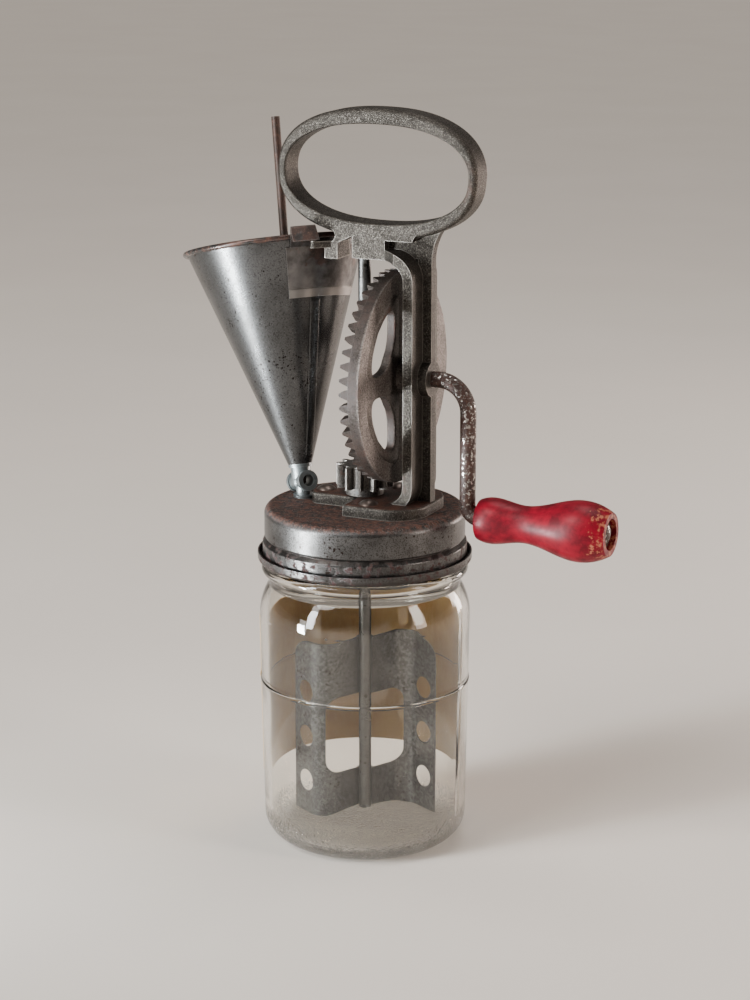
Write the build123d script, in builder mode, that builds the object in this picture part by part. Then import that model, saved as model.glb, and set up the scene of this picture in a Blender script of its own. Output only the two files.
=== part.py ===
"""A hand crank jar mixer for mayonnaise and dressings.

A cast frame with a loop handle is riveted to a tin screw lid on a glass jar. The crank turns a crown
wheel, the wheel turns a pinion on the upright dasher shaft, and a tin funnel with a needle valve drips
oil through the lid. Millimetres, Z up, the origin in the middle of the jar's base, the crank on +X.
"""
import os
from math import acos, atan, copysign, cos, degrees, pi, radians, sin, tan

from build123d import *

os.makedirs("parts", exist_ok=True)

# Clearances and small fits
run_gap = 0.06            # radial gap of a turning shaft in its bearing
fit_gap = 0.03            # radial gap of a driven pin or a riveted shank
face_gap = 0.25           # gap between flat faces that slide on each other
seat_gap = 0.1            # gap of a soldered or hooked seat
sink = 1.0                # how far one lump of the casting starts inside the next

# Glass jar
jar_height = 150.6
jar_low_r = 45.2          # outside, just above the heel
jar_high_r = 46.6         # outside, under the shoulder
jar_wall = 3.0
jar_base_t = 6.5
jar_heel = 12.0           # outer radius of the heel
jar_corner = 3.0          # inner radius of the heel
shoulder_drop = 46.6      # start of the shoulder below the mouth
groove_drop = 32.6        # groove under the bead, below the mouth
groove_r = 42.4
bead_drop = 25.4          # bead below the mouth
bead_r = 2.7              # section radius of the bead under the lid
bead_out = 0.5            # bead's centre outside the groove
finish_r = 41.2           # outside of the threaded neck
mouth_r = 37.6
ring_z = 73.8             # raised line round the middle
ring_r = 1.3

# Screw lid and its seal
seal_t = 1.6
seal_w = 3.2
lid_sheet = 0.7
lid_r = 44.2              # outside of the upper wall
lid_corner = 3.0
lid_wall_h = 14.0         # top of the lid to the rolled groove
lid_groove = 1.0          # depth and half height of the groove
lid_band_r = 45.0         # outside of the lower band
lid_rim_r = 47.2          # outside of the curled rim
lid_curl_h = 3.6
lid_curl_round = 1.0
lid_h = 24.2

# Cast frame
base_t = 5.0
base_half_y = 22.5
base_back_x = 33.4
base_round = 16.0
base_edge = 1.2           # rounding of the plate's top edge
ear_x = 23.6
ear_half_y = 8.0
ear_corner = 4.8
rivet_ring_r = 18.8       # rivets from the shaft
rivet_r = 2.4
rivet_head_r = 4.3
rivet_head_h = 2.0
rivet_tail_h = 1.0
axle_rise = 54.0          # axle above the base plate
arm_rise = 50.8           # underside of the arm above the axle
post_x = 24.0             # inner face of the post
flange_t = 4.4
flange_half_y = 13.0
flange_bend = 8.0         # inside radius where the post meets arm and base
flange_taper = 7.0        # length over which the arm's flange narrows
rib_x = 32.6
rib_t = 4.6
boss_r = 7.8
block_left = -2.8
block_right = 12.5
pocket_top = 8.4          # pocket's roof above the underside of the arm
ridge_h = 9.5             # roof of the slot at the block, above the underside of the arm
knob_right = -9.8
knob_left = -15.9
knob_drop = 1.0           # knob below the underside of the arm
knob_h = 6.0
knob_slope = 2.0
notch_depth = 4.9         # notch for the funnel's rim, from the knob's left face
loop_x = 8.0
loop_rise = 36.3          # loop centre above the underside of the arm
loop_half_len = 46.4      # outside
loop_half_h = 27.6
loop_side_w = 3.8         # bar at the ends of the loop
loop_bar_h = 6.6          # bar at the top and bottom
loop_half_y = 6.5         # half thickness of the loop and of the web under it
loop_squareness = 2.3     # 2 would be an ellipse
loop_out_round = 2.0
loop_in_round = 0.8
flare_out = 37.0          # where the rib meets the loop, from the loop's middle
flare_drop = 15.0

# Crown wheel and pinion
wheel_teeth = 48
pinion_teeth = 12
pinion_pitch_r = 11.0
backlash = 1.0
tooth_slope = 20.0        # flank angle
wheel_addendum = 1.35
wheel_dedendum = 2.9
tooth_round = 0.5
wheel_r = 46.0
tooth_inset = 0.3         # tooth ends inside the rim
tooth_len = 4.4           # along the radius of the wheel
rim_w = 8.0
rim_t = 4.7
wheel_web_t = 4.0
wheel_hub_r = 8.0
hub_boss = 1.0            # hub in front of the web
window_in = 2.0           # windows outside the hub
spoke_w = 9.0
window_round = 4.5
washer_t = 0.6
washer_r = 7.0
wheel_pin_r = 1.25
pinion_addendum = 1.6
pinion_dedendum = 1.75
pinion_h = 9.8
collar_t = 3.3
collar_r = 8.4
pinion_pin_r = 0.9

# Crank and grip
rod_r = 3.5
rod_tail = 3.0            # rod past the hub, towards the shaft
crank_x = 49.0
crank_throw = 59.5
crank_bend = 13.5
pin_bend = 6.0
grip_len = 59.5
grip_mouth_r = 8.8
grip_neck_x = 3.0         # neck, waist and bulb from the grip's mouth
grip_neck_r = 9.8
grip_waist_x = 19.6
grip_waist_r = 8.1
grip_bulb_x = 42.8
grip_bulb_r = 13.0
grip_end_r = 9.4
recess_r = 6.8
recess_h = 3.4
grip_washer_r = 6.2
grip_washer_t = 0.8
peen_r = 4.6
peen_h = 1.6

# Dasher
shaft_r = 2.75
shaft_end_z = 12.0
shaft_socket = 12.0       # depth of the top bearing
blade_low = 10.5
blade_h = 80.8
blade_half = 31.5
blade_edge_w = 5.0        # wing's edge behind the shaft, seen from the side where its fold stands in front
fold_u = 19.0             # fold of each wing, out from the shaft
fold_w = 12.5             # and out of the middle plane
fold_round = 8.0
blade_sheet = 0.9
blade_turn = 25.5
blade_corner = 8.5
window_half = 17.5
window_low = 19.9         # window above the blade's lower edge
window_h = 35.5
window_corner = 6.5
hole_r = 5.1
hole_u = 26.3
hole_low = 15.0
hole_step = 21.0
arch_half = 17.5
arch_h = 2.5

# Oil funnel, valve and needle
spout_x = -30.0
valve_rise = 7.0          # valve centre above the lid, along the funnel's axis
valve_r = 4.6
barrel_r = 4.0
barrel_half = 7.2
barrel_lip_r = 4.6
barrel_lip = 2.0
barrel_bore = 2.6
spout_r = 3.4
spout_drop = 1.4          # spout below the lid
spout_shoulder = 1.2
drip_r = 1.2
throat_r = 2.3
neck_r = 4.4
neck_len = 7.7            # valve centre to the funnel's tip
neck_lip = 1.4
nipple_h = 2.0
funnel_turn = -39.0
funnel_lean = 14.8
rim_over_arm = 8.4        # rim at the hook, above the underside of the arm
funnel_r = 40.0           # middle of the rolled rim
tip_r = 4.7
tin = 0.6
wire_r = 0.5
curl_r = 1.2
clip_top = 4.2            # clip's edges below the rim
clip_low = 25.5
clip_lap = 1.6            # hook strip over the clip's upper edge
clip_back_arc = 17.0      # clip's and hook's ends, as angles on the rim
clip_front_arc = 50.0
clip_hem = 3.4
hook_back_arc = 14.0
hook_front_arc = 0.5
hook_gap = 5.2            # from the hook's back to its lower edge
hook_fold = 1.6           # from the hook's back to its fold
hook_rise = 6.0           # fold above the rim, before it is rounded
hook_drop = 2.6           # lower edge below the rim
hook_bend = 0.9
peg_r = 1.0
peg_arc = -1.4
peg_drop = 0.6            # peg's top below the rim's middle
lug_t = 2.9
lug_half_w = 1.5
lug_root_y = -4.5         # where the lug leaves the knob
swing_open = 14.0         # how far the funnel turns on its spout to come off the peg
rim_room = 0.8            # gap between the turned funnel and the frame
needle_r = 1.85
needle_len = 162.0
needle_lean = 9.2
needle_seat = 1.5         # needle's end below the valve centre
needle_point = 0.9

# Heights that follow from the pieces stacked on each other
seal_z = jar_height
lid_under = seal_z + seal_t
lid_top = lid_under + lid_sheet
base_top = lid_top + base_t
axle_z = base_top + axle_rise
arm_z = axle_z + arm_rise
loop_z = arm_z + loop_rise
grip_z = axle_z - crank_throw
post_mid = post_x + flange_t / 2

# Glass jar: a turned wall with a thick base, a shoulder, a bead under the lid and a plain neck
foot_r = jar_low_r - jar_heel
shoulder_z = jar_height - shoulder_drop
groove_z = jar_height - groove_drop
bead_z = jar_height - bead_drop
in_low_r = jar_low_r - jar_wall
in_high_r = jar_high_r - jar_wall
neck_in_z = groove_z + jar_wall
with BuildPart() as glass_jar:
    with BuildSketch(Plane.XZ):
        with BuildLine():
            Line((0, 0), (foot_r, 0))
            TangentArc((foot_r, 0), (jar_low_r, jar_heel), tangent=(1, 0))
            Line((jar_low_r, jar_heel), (jar_high_r, shoulder_z))
            TangentArc((jar_high_r, shoulder_z), (groove_r, groove_z), tangent=(0, 1))
            Polyline((groove_r, groove_z), (groove_r, bead_z), (finish_r, bead_z + bead_r),
                     (finish_r, jar_height), (mouth_r, jar_height), (mouth_r, neck_in_z))
            TangentArc((in_high_r, shoulder_z), (mouth_r, neck_in_z), tangent=(0, 1))
            Line((in_high_r, shoulder_z), (in_low_r, jar_corner + jar_base_t))
            TangentArc((in_low_r - jar_corner, jar_base_t), (in_low_r, jar_corner + jar_base_t), tangent=(1, 0))
            Polyline((in_low_r - jar_corner, jar_base_t), (0, jar_base_t), (0, 0))
        make_face()
        with Locations((groove_r + bead_out, bead_z)):
            Circle(bead_r)
        with Locations(((jar_low_r + jar_high_r) / 2 - ring_r / 2, ring_z)):
            Circle(ring_r)
    revolve(axis=Axis.Z)
glass_jar.part.label = "glass_jar"
export_step(glass_jar.part, "parts/glass_jar.step")

# Seal: a flat ring between the jar's mouth and the lid
with BuildPart() as lid_seal:
    with BuildSketch(Plane.XY.offset(seal_z)):
        Circle(mouth_r + seal_w)
        Circle(mouth_r, mode=Mode.SUBTRACT)
    extrude(amount=seal_t)
lid_seal.part.label = "lid_seal"
export_step(lid_seal.part, "parts/lid_seal.step")

# Screw lid: one sheet, drawn down over the neck, grooved, flared and curled up at the rim
wall_mid = lid_r - lid_sheet / 2
band_mid = lid_band_r - lid_sheet / 2
rim_mid = lid_rim_r - lid_sheet / 2
top_mid = lid_top - lid_sheet / 2
groove_mid_z = lid_top - lid_wall_h
rim_low = lid_top - lid_h + lid_sheet / 2
groove_round = lid_groove / 2
with BuildPart() as screw_lid:
    with BuildSketch(Plane.XZ):
        with BuildLine():
            FilletPolyline(
                (0, top_mid),
                (wall_mid, top_mid),
                (wall_mid, groove_mid_z + lid_groove),
                (wall_mid - lid_groove, groove_mid_z),
                (band_mid, groove_mid_z - 2 * lid_groove),
                (band_mid, rim_low),
                (rim_mid, rim_low),
                (rim_mid, rim_low + lid_curl_h),
                radius=[lid_corner, groove_round, groove_round, groove_round, lid_curl_round, lid_curl_round],
            )
        trace(line_width=lid_sheet)
    revolve(axis=Axis.Z)
    with BuildSketch(Plane.XY.offset(lid_top)):
        Circle(shaft_r + face_gap)
        with Locations((spout_x, 0)):
            Circle(spout_r + face_gap)
        with PolarLocations(rivet_ring_r, 3, start_angle=180):
            Circle(rivet_r + fit_gap)
    extrude(amount=-2 * lid_sheet, mode=Mode.SUBTRACT)
screw_lid.part.label = "screw_lid"
export_step(screw_lid.part, "parts/screw_lid.step")

# Where the funnel stands: its axis leans back from the hook side, in a plane turned about the spout
turn = radians(funnel_turn)
lean = radians(funnel_lean)
hook_way = Vector(cos(turn), sin(turn), 0)
funnel_up = hook_way * -sin(lean) + Vector(0, 0, cos(lean))
funnel_out = hook_way * cos(lean) + Vector(0, 0, sin(lean))
funnel_across = funnel_up.cross(funnel_out)
spout_at = Vector(spout_x, 0, lid_top)
valve_at = spout_at + funnel_up * valve_rise
tip_at = valve_at + funnel_up * neck_len
funnel_len = (arm_z + rim_over_arm - tip_at.Z - funnel_r * sin(lean)) / cos(lean)
funnel_axis = Axis(tip_at, funnel_up)


def funnel_section(angle):
    """Half plane of the funnel's axis, turned from the hook: x is the radius, y the way up the axis."""
    out = funnel_out * cos(radians(angle)) + funnel_across * sin(radians(angle))
    return Plane(origin=tip_at, x_dir=out, z_dir=out.cross(funnel_up))


# The hook stands just outside the rolled rim, and the frame's peg stands in the hook
hook_mid = funnel_r + curl_r + seat_gap + tin / 2
peg_out = hook_mid + hook_gap / 2
peg_end = funnel_len - peg_drop
peg_start = funnel_len - hook_drop - face_gap
peg_at = funnel_section(peg_arc).from_local_coords((peg_out, peg_start, 0))

# Cast frame, first the loop handle: a flat bar round a rounded opening, its edges rounded
loop_steps = 24


def loop_line(half_len, half_h):
    """Points round the loop, between an ellipse and a rectangle, for a closed smooth line."""
    power = 2 / loop_squareness
    points = []
    for step in range(loop_steps):
        c = cos(2 * pi * step / loop_steps)
        s = sin(2 * pi * step / loop_steps)
        points.append((half_len * copysign(abs(c) ** power, c), half_h * copysign(abs(s) ** power, s)))
    return points


with BuildPart() as loop_handle:
    with BuildSketch(Plane(origin=(loop_x, 0, loop_z), x_dir=(1, 0, 0), z_dir=(0, -1, 0))):
        with BuildLine():
            Spline(*loop_line(loop_half_len, loop_half_h), periodic=True)
        make_face()
    extrude(amount=loop_half_y, both=True)
    fillet(loop_handle.edges().filter_by(GeomType.LINE, reverse=True), radius=loop_out_round)
    with BuildSketch(Plane(origin=(loop_x, 0, loop_z), x_dir=(1, 0, 0), z_dir=(0, -1, 0))):
        with BuildLine():
            Spline(*loop_line(loop_half_len - loop_side_w, loop_half_h - loop_bar_h), periodic=True)
        make_face()
    extrude(amount=loop_half_y, both=True, mode=Mode.SUBTRACT)
    fillet(loop_handle.edges(Select.LAST).filter_by(GeomType.LINE, reverse=True), radius=loop_in_round)
# The thick web under the loop, with the block for the shaft, the slot and the hanging knob
web_top = loop_rise - loop_half_h + loop_bar_h / 2
knob_low = -knob_drop
knob_top = knob_low + knob_h
notch_left = knob_left + knob_slope
with BuildPart() as web:
    with BuildSketch(Plane(origin=(0, 0, arm_z), x_dir=(1, 0, 0), z_dir=(0, -1, 0))):
        with BuildLine():
            Polyline(
                (notch_left, knob_top + knob_slope / 2),
                (knob_left, knob_top),
                (knob_left, knob_low),
                (knob_right, knob_low),
                (knob_right, knob_top + knob_slope / 2),
                (block_left, ridge_h),
                (block_left, 0),
                (block_right, 0),
                (block_right, pocket_top),
                (post_x + sink, pocket_top),
                (post_mid + sink, web_top),
                (notch_left, web_top),
            )
            ThreePointArc((notch_left, web_top), (knob_left + notch_depth, (web_top + knob_top) / 2),
                          (notch_left, knob_top + knob_slope / 2))
        make_face()
    extrude(amount=loop_half_y, both=True)
# The flange runs down the inside of the post and bends into the arm above and the base below
with BuildPart() as flange:
    with BuildSketch(Plane.XZ):
        with BuildLine():
            FilletPolyline(
                (block_right - sink, arm_z + flange_t / 2),
                (post_mid, arm_z + flange_t / 2),
                (post_mid, base_top - flange_t / 2),
                (block_right - sink, base_top - flange_t / 2),
                radius=flange_bend + flange_t / 2,
            )
        trace(line_width=flange_t)
    extrude(amount=flange_half_y, both=True)
    with BuildSketch(Plane.XY.offset(lid_top)):
        with BuildLine():
            Polyline(
                (block_right - sink, -loop_half_y),
                (block_right, -loop_half_y),
                (block_right + flange_taper, -flange_half_y),
                (rib_x, -flange_half_y),
                (rib_x, flange_half_y),
                (block_right + flange_taper, flange_half_y),
                (block_right, loop_half_y),
                (block_right - sink, loop_half_y),
                close=True,
            )
        make_face()
    extrude(amount=loop_z - lid_top, mode=Mode.INTERSECT)
# The rib on the outside of the post flares up into the loop
flare_x = loop_x + flare_out
flare_z = loop_z - flare_drop
with BuildPart() as rib:
    with BuildSketch(Plane.XZ):
        with BuildLine():
            Polyline(
                (rib_x, arm_z),
                (rib_x, base_top - sink),
                (post_mid, base_top - sink),
                (post_mid, arm_z + sink),
                (block_right - sink, arm_z + sink),
                (block_right - sink, arm_z + web_top),
                (post_mid, arm_z + web_top + sink),
                (flare_x, flare_z),
            )
            TangentArc((rib_x, arm_z), (flare_x, flare_z), tangent=(0, 1))
        make_face()
    extrude(amount=rib_t / 2, both=True)
# The base plate with its ear
with BuildPart() as base_plate:
    with BuildSketch(Plane.XY.offset(lid_top)):
        with BuildLine():
            FilletPolyline((0, -base_half_y), (base_back_x, -base_half_y), (base_back_x, base_half_y),
                           (0, base_half_y), radius=base_round)
            Line((0, base_half_y), (0, -base_half_y))
        make_face()
        with Locations(((sink - ear_x) / 2, 0)):
            RectangleRounded(ear_x + sink, 2 * ear_half_y, ear_corner)
    extrude(amount=base_t)
    fillet(base_plate.faces().sort_by(Axis.Z)[-1].edges(), radius=base_edge)
# The room that the funnel takes when it is turned off its hook
with BuildPart() as funnel_room:
    with BuildSketch(funnel_section(0)):
        with BuildLine():
            Polyline(
                (0, 0),
                (tip_r + 2 * curl_r + rim_room, 0),
                (funnel_r + curl_r + rim_room, funnel_len - curl_r - rim_room),
                (funnel_r + curl_r + rim_room, funnel_len + curl_r + rim_room),
                (0, funnel_len + curl_r + rim_room),
                close=True,
            )
        make_face()
    revolve(axis=funnel_axis)
open_room = funnel_room.part.rotate(Axis(spout_at, (0, 0, 1)), -swing_open)
with BuildPart() as frame_casting:
    add(web.part)
    add(open_room, mode=Mode.SUBTRACT)
    add(loop_handle.part)
    add(flange.part)
    add(rib.part)
    add(base_plate.part)
    with BuildSketch(Plane.YZ.offset(post_x)):
        with Locations((0, axle_z)):
            Circle(boss_r)
    extrude(amount=rib_x - post_x)
    # Lug for the funnel's hook: a short bar out of the knob, with an upturned peg
    with BuildSketch(Plane.XY.offset(peg_at.Z - lug_t)):
        with BuildLine():
            Line((peg_at.X, peg_at.Y), ((knob_left + knob_right) / 2, lug_root_y))
        trace(line_width=2 * lug_half_w)
        with Locations((peg_at.X, peg_at.Y)):
            Circle(lug_half_w)
    extrude(amount=lug_t)
    with BuildSketch(Plane(origin=peg_at - funnel_up * sink, z_dir=funnel_up)):
        Circle(peg_r)
    extrude(amount=peg_end - peg_start + sink)
    # Bearings and rivet holes
    with BuildSketch(Plane.XY.offset(arm_z)):
        Circle(shaft_r + run_gap)
    extrude(amount=shaft_socket, mode=Mode.SUBTRACT)
    with BuildSketch(Plane.XY.offset(lid_top)):
        Circle(shaft_r + run_gap)
        with PolarLocations(rivet_ring_r, 3, start_angle=180):
            Circle(rivet_r + fit_gap)
    extrude(amount=base_t, mode=Mode.SUBTRACT)
    with BuildSketch(Plane.YZ.offset(post_x)):
        with Locations((0, axle_z)):
            Circle(rod_r + run_gap)
    extrude(amount=rib_x - post_x, mode=Mode.SUBTRACT)
frame_casting.part.label = "frame_casting"
export_step(frame_casting.part, "parts/frame_casting.step")

# Rivets: domed heads on the base plate, tails closed under the lid
with BuildPart() as rivet:
    with BuildSketch(Plane.XZ):
        with BuildLine():
            Polyline((0, base_top + rivet_head_h), (0, lid_under - rivet_tail_h),
                     (rivet_head_r, lid_under - rivet_tail_h), (rivet_head_r, lid_under), (rivet_r, lid_under),
                     (rivet_r, base_top), (rivet_head_r, base_top))
            TangentArc((0, base_top + rivet_head_h), (rivet_head_r, base_top), tangent=(1, 0))
        make_face()
    revolve(axis=Axis.Z)
with BuildPart() as frame_rivets:
    with PolarLocations(rivet_ring_r, 3, start_angle=180):
        add(rivet.part)
frame_rivets.part.label = "frame_rivets"
export_step(frame_rivets.part, "parts/frame_rivets.step")

# Crown wheel: a spoked disc with a hub, and a crown of teeth that point at the shaft
module = 2 * pinion_pitch_r / pinion_teeth
tooth_half = pi * module / 4 - backlash / 4
slope = tan(radians(tooth_slope))
tip_x = pinion_pitch_r - wheel_addendum
root_x = pinion_pitch_r + wheel_dedendum
face_x = root_x + rim_t
hub_front = face_x - wheel_web_t - hub_boss
hub_back = post_x - washer_t - 2 * face_gap
pin_x = (face_x + hub_back) / 2
wheel_plane = Plane(origin=(0, 0, axle_z), x_dir=(0, 1, 0), z_dir=(1, 0, 0))
tip_half = tooth_half - wheel_addendum * slope
root_half = tooth_half + wheel_dedendum * slope
tooth_end = wheel_r - tooth_inset
with BuildPart() as crown_tooth:
    with BuildSketch(Plane(origin=(0, -tooth_end, 0), x_dir=(1, 0, 0), z_dir=(0, 1, 0))) as tooth_face:
        with BuildLine():
            Polyline((-tip_half, -tip_x), (-root_half, -root_x), (-root_half, -root_x - sink),
                     (root_half, -root_x - sink), (root_half, -root_x), (tip_half, -tip_x), close=True)
        make_face()
        fillet(tooth_face.vertices().group_by(Axis.Y)[-1], radius=tooth_round)
    extrude(amount=tooth_len)
with BuildPart(wheel_plane) as crown_wheel:
    with BuildSketch(wheel_plane.offset(root_x)):
        Circle(wheel_r)
        Circle(wheel_r - rim_w, mode=Mode.SUBTRACT)
    extrude(amount=rim_t)
    with BuildSketch(wheel_plane.offset(face_x - wheel_web_t)) as spokes:
        Circle(wheel_r - rim_w / 2)
        with BuildSketch(mode=Mode.PRIVATE) as windows:
            Circle(wheel_r - rim_w)
            Circle(wheel_hub_r + window_in, mode=Mode.SUBTRACT)
            Rectangle(2 * wheel_r, spoke_w, mode=Mode.SUBTRACT)
            Rectangle(spoke_w, 2 * wheel_r, mode=Mode.SUBTRACT)
            fillet(windows.vertices(), radius=window_round)
        add(windows.sketch, mode=Mode.SUBTRACT)
    extrude(amount=wheel_web_t)
    with BuildSketch(wheel_plane.offset(hub_front)):
        Circle(wheel_hub_r)
    extrude(amount=hub_back - hub_front)
    with PolarLocations(0, wheel_teeth):
        add(crown_tooth.part)
    with BuildSketch(wheel_plane.offset(hub_front)):
        Circle(rod_r + fit_gap)
    extrude(amount=hub_back - hub_front, mode=Mode.SUBTRACT)
    with BuildSketch(Plane.XY.offset(axle_z)):
        with Locations((pin_x, 0)):
            Circle(wheel_pin_r + fit_gap)
    extrude(amount=wheel_hub_r, both=True, mode=Mode.SUBTRACT)
crown_wheel.part.label = "crown_wheel"
export_step(crown_wheel.part, "parts/crown_wheel.step")

# Pin through the wheel's hub and the rod
with BuildPart() as wheel_pin:
    with BuildSketch(Plane.XY.offset(axle_z)):
        with Locations((pin_x, 0)):
            Circle(wheel_pin_r)
    extrude(amount=wheel_hub_r, both=True)
wheel_pin.part.label = "wheel_pin"
export_step(wheel_pin.part, "parts/wheel_pin.step")

# Washer between the wheel's hub and the post
with BuildPart() as axle_washer:
    with BuildSketch(Plane.YZ.offset(hub_back + face_gap)):
        with Locations((0, axle_z)):
            Circle(washer_r)
            Circle(rod_r + fit_gap, mode=Mode.SUBTRACT)
    extrude(amount=washer_t)
axle_washer.part.label = "axle_washer"
export_step(axle_washer.part, "parts/axle_washer.step")

# Crank: one rod, bent down from the axle and out again through the grip, its end peened over a washer
grip_x = crank_x + pin_bend + face_gap
grip_end = grip_x + grip_len
recess_x = grip_end - recess_h
peen_x = recess_x + grip_washer_t + 2 * face_gap
pin_axis = Axis((0, 0, grip_z), (1, 0, 0))
with BuildPart() as crank_rod:
    with BuildLine(Plane.XZ):
        FilletPolyline((hub_front - rod_tail, axle_z), (crank_x, axle_z), (crank_x, grip_z), (peen_x, grip_z),
                       radius=[crank_bend, pin_bend])
    with BuildSketch(Plane.YZ.offset(hub_front - rod_tail)):
        with Locations((0, axle_z)):
            Circle(rod_r)
    sweep()
    with BuildSketch(Plane.XZ):
        with BuildLine():
            Polyline((peen_x + peen_h, grip_z), (peen_x, grip_z), (peen_x, grip_z + peen_r))
            TangentArc((peen_x + peen_h, grip_z), (peen_x, grip_z + peen_r), tangent=(0, 1))
        make_face()
    revolve(axis=pin_axis)
    with BuildSketch(Plane.XY.offset(axle_z)):
        with Locations((pin_x, 0)):
            Circle(wheel_pin_r + fit_gap)
    extrude(amount=wheel_hub_r, both=True, mode=Mode.SUBTRACT)
crank_rod.part.label = "crank_rod"
export_step(crank_rod.part, "parts/crank_rod.step")

# Grip: turned wood with a waist, a bulb and a recess in its end
with BuildPart() as handle_grip:
    with BuildSketch(Plane.XZ):
        with BuildLine():
            bore_z = grip_z + rod_r + run_gap
            Spline(
                (grip_x, grip_z + grip_mouth_r),
                (grip_x + grip_neck_x, grip_z + grip_neck_r),
                (grip_x + grip_waist_x, grip_z + grip_waist_r),
                (grip_x + grip_bulb_x, grip_z + grip_bulb_r),
                (grip_end, grip_z + grip_end_r),
            )
            Polyline((grip_end, grip_z + grip_end_r), (grip_end, grip_z + recess_r), (recess_x, grip_z + recess_r),
                     (recess_x, bore_z), (grip_x, bore_z), (grip_x, grip_z + grip_mouth_r))
        make_face()
    revolve(axis=pin_axis)
handle_grip.part.label = "handle_grip"
export_step(handle_grip.part, "parts/handle_grip.step")

# Washer in the grip's end
with BuildPart() as grip_washer:
    with BuildSketch(Plane.YZ.offset(recess_x + face_gap)):
        with Locations((0, grip_z)):
            Circle(grip_washer_r)
            Circle(rod_r + fit_gap, mode=Mode.SUBTRACT)
    extrude(amount=grip_washer_t)
grip_washer.part.label = "grip_washer"
export_step(grip_washer.part, "parts/grip_washer.step")

# Dasher shaft: a plain rod from the bearing in the arm down into the jar
collar_z = base_top + face_gap
pinion_z = collar_z + collar_t
pinion_pin_z = collar_z + collar_t / 2
with BuildPart() as dasher_shaft:
    with BuildSketch(Plane.XY.offset(shaft_end_z)):
        Circle(shaft_r)
    extrude(amount=arm_z + shaft_socket - face_gap - shaft_end_z)
    with BuildSketch(Plane.XZ):
        with Locations((0, pinion_pin_z)):
            Circle(pinion_pin_r + fit_gap)
    extrude(amount=shaft_r, both=True, mode=Mode.SUBTRACT)
dasher_shaft.part.label = "dasher_shaft"
export_step(dasher_shaft.part, "parts/dasher_shaft.step")

# Pinion: involute teeth on a round collar
base_r = pinion_pitch_r * cos(radians(tooth_slope))
tip_r_pinion = pinion_pitch_r + pinion_addendum
root_r_pinion = pinion_pitch_r - pinion_dedendum
pitch_half = tooth_half / pinion_pitch_r
involute_pitch = slope - radians(tooth_slope)


def flank(radius, side):
    """Point of a tooth's involute flank at a radius, on one side of the tooth's middle line."""
    pressure = acos(base_r / radius)
    angle = side * (pitch_half + involute_pitch - tan(pressure) + pressure)
    return (radius * cos(angle), radius * sin(angle))


with BuildPart() as pinion:
    with BuildSketch(Plane.XY.offset(collar_z)):
        Circle(collar_r)
    extrude(amount=collar_t)
    with BuildSketch(Plane.XY.offset(pinion_z)):
        Circle(root_r_pinion)
        with BuildSketch(mode=Mode.PRIVATE) as pinion_tooth:
            with BuildLine():
                right = Spline(*[flank(base_r + (tip_r_pinion - base_r) * k / 4, -1) for k in range(5)])
                left = Spline(*[flank(base_r + (tip_r_pinion - base_r) * k / 4, 1) for k in range(5)])
                Line(right @ 1, left @ 1)
                Polyline(left @ 0, (root_r_pinion - sink, (left @ 0).Y), (root_r_pinion - sink, (right @ 0).Y),
                         right @ 0)
            make_face()
        with PolarLocations(0, pinion_teeth, start_angle=180 / pinion_teeth):
            add(pinion_tooth.sketch)
    extrude(amount=pinion_h)
    with BuildSketch(Plane.XY.offset(collar_z)):
        Circle(shaft_r + fit_gap)
    extrude(amount=collar_t + pinion_h, mode=Mode.SUBTRACT)
    with BuildSketch(Plane.XZ):
        with Locations((0, pinion_pin_z)):
            Circle(pinion_pin_r + fit_gap)
    extrude(amount=collar_r, both=True, mode=Mode.SUBTRACT)
pinion.part.label = "pinion"
export_step(pinion.part, "parts/pinion.step")

# Pin through the pinion's collar and the shaft
with BuildPart() as pinion_pin:
    with BuildSketch(Plane.XZ):
        with Locations((0, pinion_pin_z)):
            Circle(pinion_pin_r)
    extrude(amount=collar_r - seat_gap, both=True)
pinion_pin.part.label = "pinion_pin"
export_step(pinion_pin.part, "parts/pinion_pin.step")

# Dasher blade: one sheet bent round the shaft, each wing folded back, with a window, six holes and an arch
blade_way = radians(blade_turn)
blade_x = (cos(blade_way), sin(blade_way), 0)
channel_r = shaft_r + seat_gap + blade_sheet / 2
wing_angle = atan((fold_w + blade_edge_w) / (blade_half - fold_u))
with BuildPart() as dasher_blade:
    with BuildSketch(Plane(origin=(0, 0, blade_low), x_dir=blade_x, z_dir=(0, 0, 1))):
        with BuildLine():
            FilletPolyline((-blade_half, blade_edge_w), (-fold_u, -fold_w), (-channel_r, 0), radius=fold_round)
            ThreePointArc((-channel_r, 0), (0, channel_r), (channel_r, 0))
            FilletPolyline((channel_r, 0), (fold_u, fold_w), (blade_half, -blade_edge_w), radius=fold_round)
        trace(line_width=blade_sheet)
    extrude(amount=blade_h)
    with BuildSketch(Plane(origin=(0, 0, blade_low), x_dir=blade_x, z_dir=(sin(blade_way), -cos(blade_way), 0))):
        with BuildLine():
            FilletPolyline((-blade_half, 0), (-blade_half, blade_h), (blade_half, blade_h), (blade_half, 0),
                           radius=blade_corner)
            Line((-blade_half, 0), (-arch_half, 0))
            ThreePointArc((-arch_half, 0), (0, arch_h), (arch_half, 0))
            Line((arch_half, 0), (blade_half, 0))
        make_face()
        with Locations((0, window_low + window_h / 2)):
            RectangleRounded(2 * window_half, window_h, window_corner, mode=Mode.SUBTRACT)
        with Locations((0, hole_low + hole_step)):
            with GridLocations(2 * hole_u, hole_step, 2, 3):
                Ellipse(hole_r * cos(wing_angle), hole_r, mode=Mode.SUBTRACT)
    extrude(amount=2 * fold_w, both=True, mode=Mode.INTERSECT)
dasher_blade.part.label = "dasher_blade"
export_step(dasher_blade.part, "parts/dasher_blade.step")

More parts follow.
